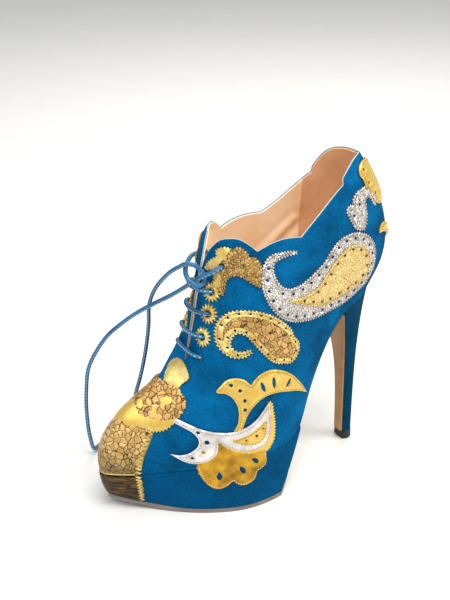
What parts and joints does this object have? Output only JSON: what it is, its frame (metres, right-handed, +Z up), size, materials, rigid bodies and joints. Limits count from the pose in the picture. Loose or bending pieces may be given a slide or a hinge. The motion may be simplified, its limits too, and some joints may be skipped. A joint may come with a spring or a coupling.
{
  "type": "high heel shoe",
  "caption": "Lace-up platform shoe with a stiletto heel, scalloped collar, hollow suede upper and sewn-on gold and silver paisley and leaf ornament.",
  "frame": {"origin": "on the floor, under the middle of the shoe's box without its loose laces", "axes": "+X to the toe, +Y to the outer side of the left foot, +Z up"},
  "size_m": [0.1976, 0.1372, 0.2011],
  "materials": {
    "black_rubber": "matte",
    "gold_crackle": "crackled metallic",
    "gold_leather": "metallic",
    "lace_leather": "smooth",
    "lining_leather": "smooth",
    "silver_crackle": "crackled metallic",
    "sole_leather": "smooth",
    "suede": "suede",
    "suede_dark": "suede",
    "tan_leather": "smooth"
  },
  "bodies": {
    "root": {"back_crescent": "gold_leather", "back_tab_inner": "gold_leather", "back_tab_outer": "gold_leather", "branch_inner": "silver_crackle", "branch_outer": "silver_crackle", "breast_cover": "tan_leather", "collar_leaf_inner": "gold_crackle", "collar_leaf_outer": "gold_crackle", "crescent_inner": "gold_leather", "crescent_outer": "gold_leather", "double_leaf_inner": "gold_leather", "double_leaf_outer": "gold_leather", "fan_inner": "gold_leather", "fan_outer": "gold_leather", "gold_lobe_inner": "gold_leather", "gold_lobe_outer": "gold_leather", "heel": "suede", "heel_tip": "black_rubber", "insole": "lining_leather", "lace_bar_2": "lace_leather", "lace_bar_3": "lace_leather", "lace_bar_4": "lace_leather", "lace_bar_5": "lace_leather", "lace_tail_inner": "lace_leather", "lace_tail_outer": "lace_leather", "mid_paisley_inner": "gold_crackle", "mid_paisley_outer": "gold_crackle", "outsole": "sole_leather", "platform": "suede_dark", "silver_leaf_inner": "silver_crackle", "silver_leaf_outer": "silver_crackle", "silver_paisley_inner": "silver_crackle", "silver_paisley_outer": "silver_crackle", "sunburst_2_inner": "gold_leather", "sunburst_2_outer": "gold_leather", "sunburst_3_inner": "gold_leather", "sunburst_3_outer": "gold_leather", "sunburst_4_inner": "gold_leather", "sunburst_4_outer": "gold_leather", "tassel_inner": "lace_leather", "tassel_outer": "lace_leather", "toe_band": "gold_crackle", "toe_body": "gold_crackle", "toe_cap": "gold_crackle", "toe_neck": "gold_leather", "upper": "suede"}
  },
  "joints": []
}
